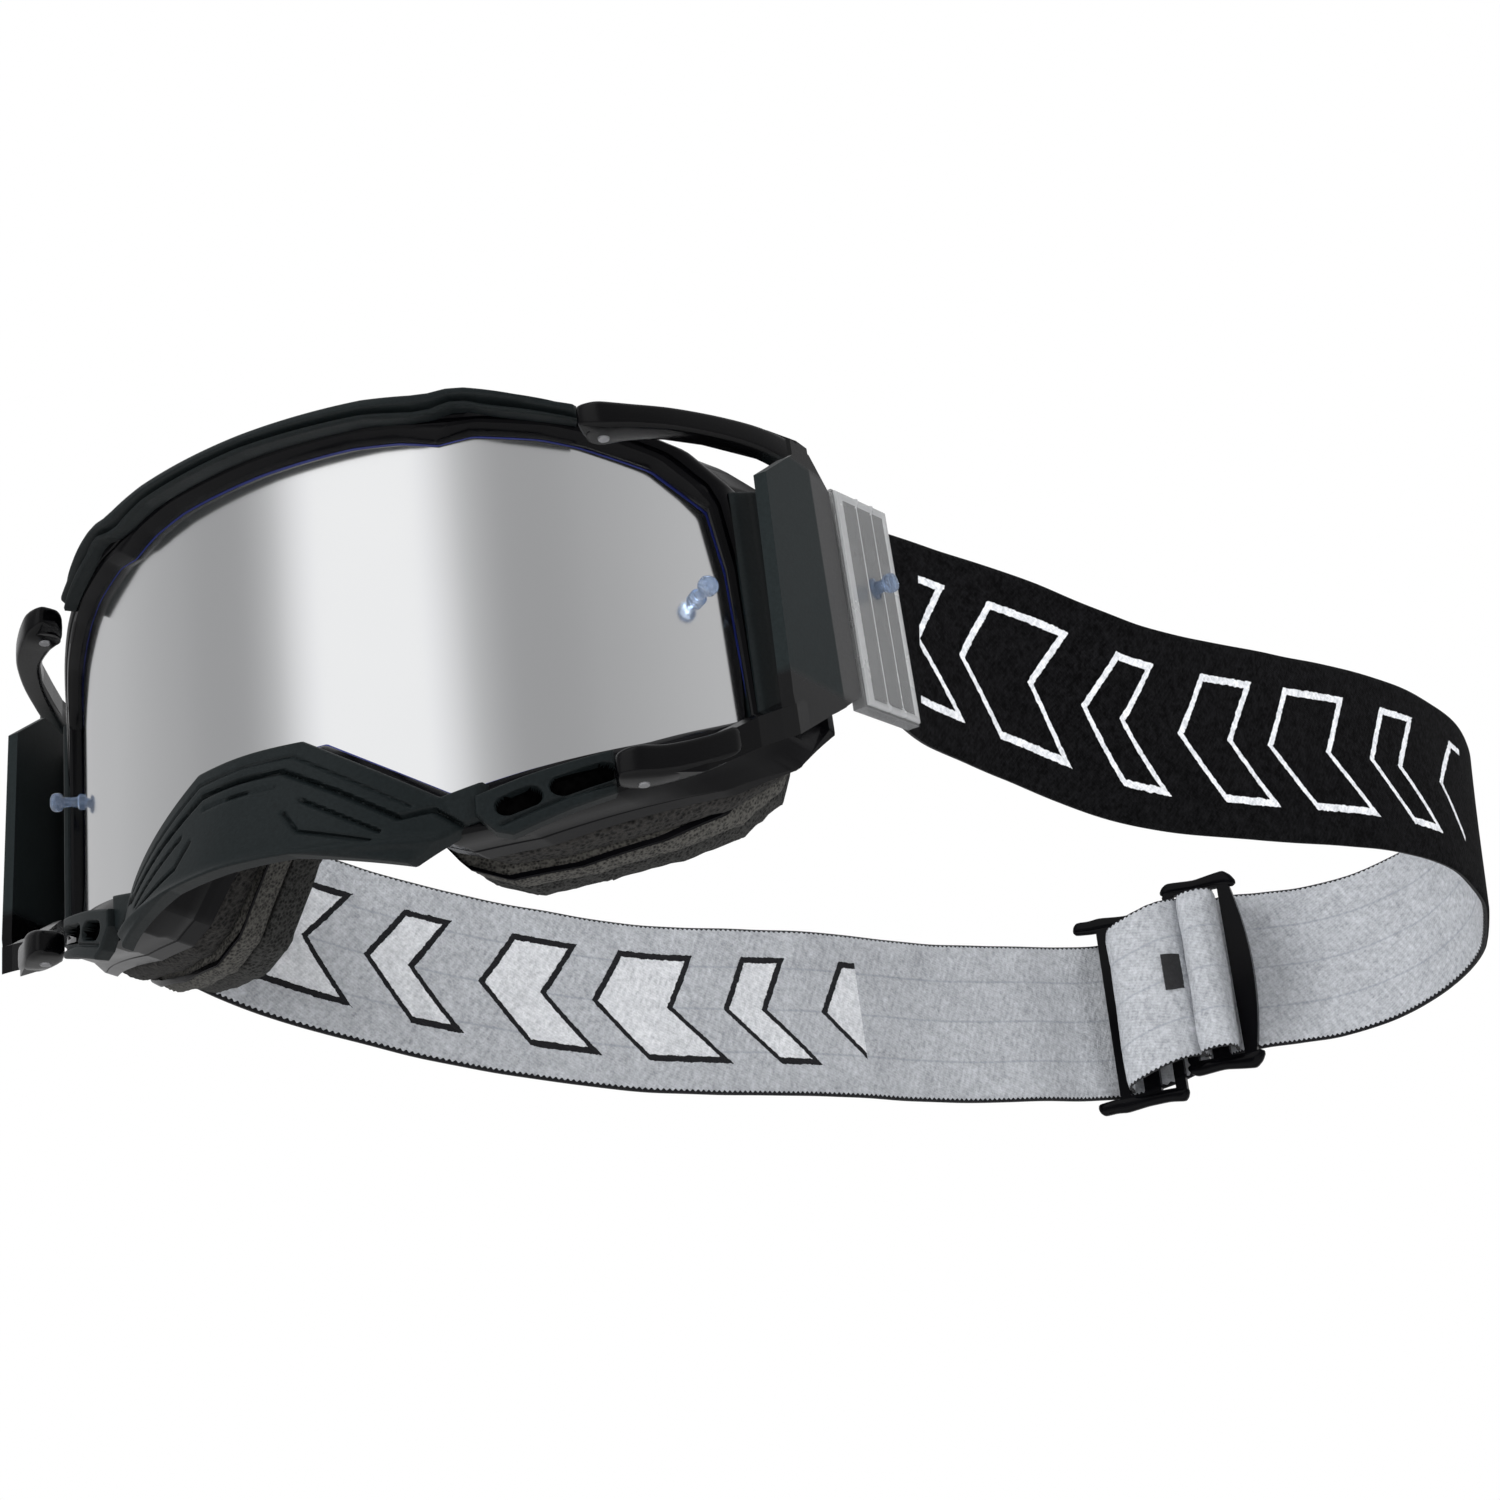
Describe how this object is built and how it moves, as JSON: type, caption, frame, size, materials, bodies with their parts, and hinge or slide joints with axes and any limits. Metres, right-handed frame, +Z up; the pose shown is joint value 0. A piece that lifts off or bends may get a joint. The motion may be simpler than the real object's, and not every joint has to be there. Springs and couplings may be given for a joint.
{
  "type": "motocross goggles",
  "caption": "Off-road riding goggles with a cylindrical mirror lens in a flexible frame, hinged outriggers, layered face foam and a wide elastic strap with sliding buckles.",
  "frame": {"origin": "on the centre plane at the height of the tear-off posts, 60 mm behind the front of the lens, inside the face opening", "axes": "+Y backwards through the face opening towards the wearer's head, +Z up, +X to the wearer's left; the lens faces -Y"},
  "size_m": [0.2877, 0.3207, 0.1022],
  "materials": {
    "frame_black": "satin",
    "trim_matte": "fine matte texture",
    "lens_mirror": "silver mirror coating",
    "post_clear": "clear moulded plastic",
    "outrigger_black": "satin with glossy edges",
    "pin_steel": "plain",
    "clip_smoke": "frosted translucent plastic",
    "strap_weave": "woven elastic, black outside and light grey inside",
    "strap_lining": "brushed woven elastic",
    "slider_black": "gloss",
    "thread_black": "dense stitching",
    "foam_coarse": "open-cell foam",
    "foam_grey": "felt-like foam",
    "foam_soft": "brushed fleece foam"
  },
  "bodies": {
    "goggles": {"frame_body": "frame_black", "brow_trim": "trim_matte", "nose_guard": "trim_matte", "vent_trim_left": "trim_matte", "vent_trim_right": "trim_matte", "lens": "lens_mirror", "lens_post_left": "post_clear", "lens_post_right": "post_clear", "hinge_pin_upper_left": "pin_steel", "hinge_pin_lower_left": "pin_steel", "hinge_pin_upper_right": "pin_steel", "hinge_pin_lower_right": "pin_steel", "strap_left": "strap_weave", "strap_right": "strap_weave", "foam_base": "foam_coarse", "foam_middle": "foam_grey", "foam_face": "foam_soft", "vent_foam_upper": "foam_coarse", "vent_foam_lower_left": "foam_coarse", "vent_foam_lower_right": "foam_coarse"},
    "arm_left": {"outrigger_left": "outrigger_black", "clip_left": "clip_smoke", "clip_post_left": "post_clear", "strap_end_left": "strap_weave"},
    "arm_right": {"outrigger_right": "outrigger_black", "clip_right": "clip_smoke", "clip_post_right": "post_clear", "strap_end_right": "strap_weave"},
    "buckle_left": {"slider_left": "slider_black", "strap_fold_left": "strap_lining"},
    "buckle_right": {"slider_right": "slider_black", "strap_fold_right": "strap_lining", "bartack": "thread_black"}
  },
  "joints": [
    {"name": "outrigger_left_hinge", "type": "hinge", "parent": "goggles", "child": "arm_left", "pos_m": [0.0665, -0.045, 0], "axis": [0, 0, -1], "range_deg": [-3, 12]},
    {"name": "outrigger_right_hinge", "type": "hinge", "parent": "goggles", "child": "arm_right", "pos_m": [-0.0665, -0.045, 0], "axis": [0, 0, 1], "range_deg": [-3, 12]},
    {"name": "slider_left_slide", "type": "slide", "parent": "goggles", "child": "buckle_left", "axis": [1, 0, 0], "range_m": [0, 0.009]},
    {"name": "slider_right_slide", "type": "slide", "parent": "goggles", "child": "buckle_right", "axis": [-0.731, -0.6824, 0], "range_m": [0, 0.01]}
  ]
}
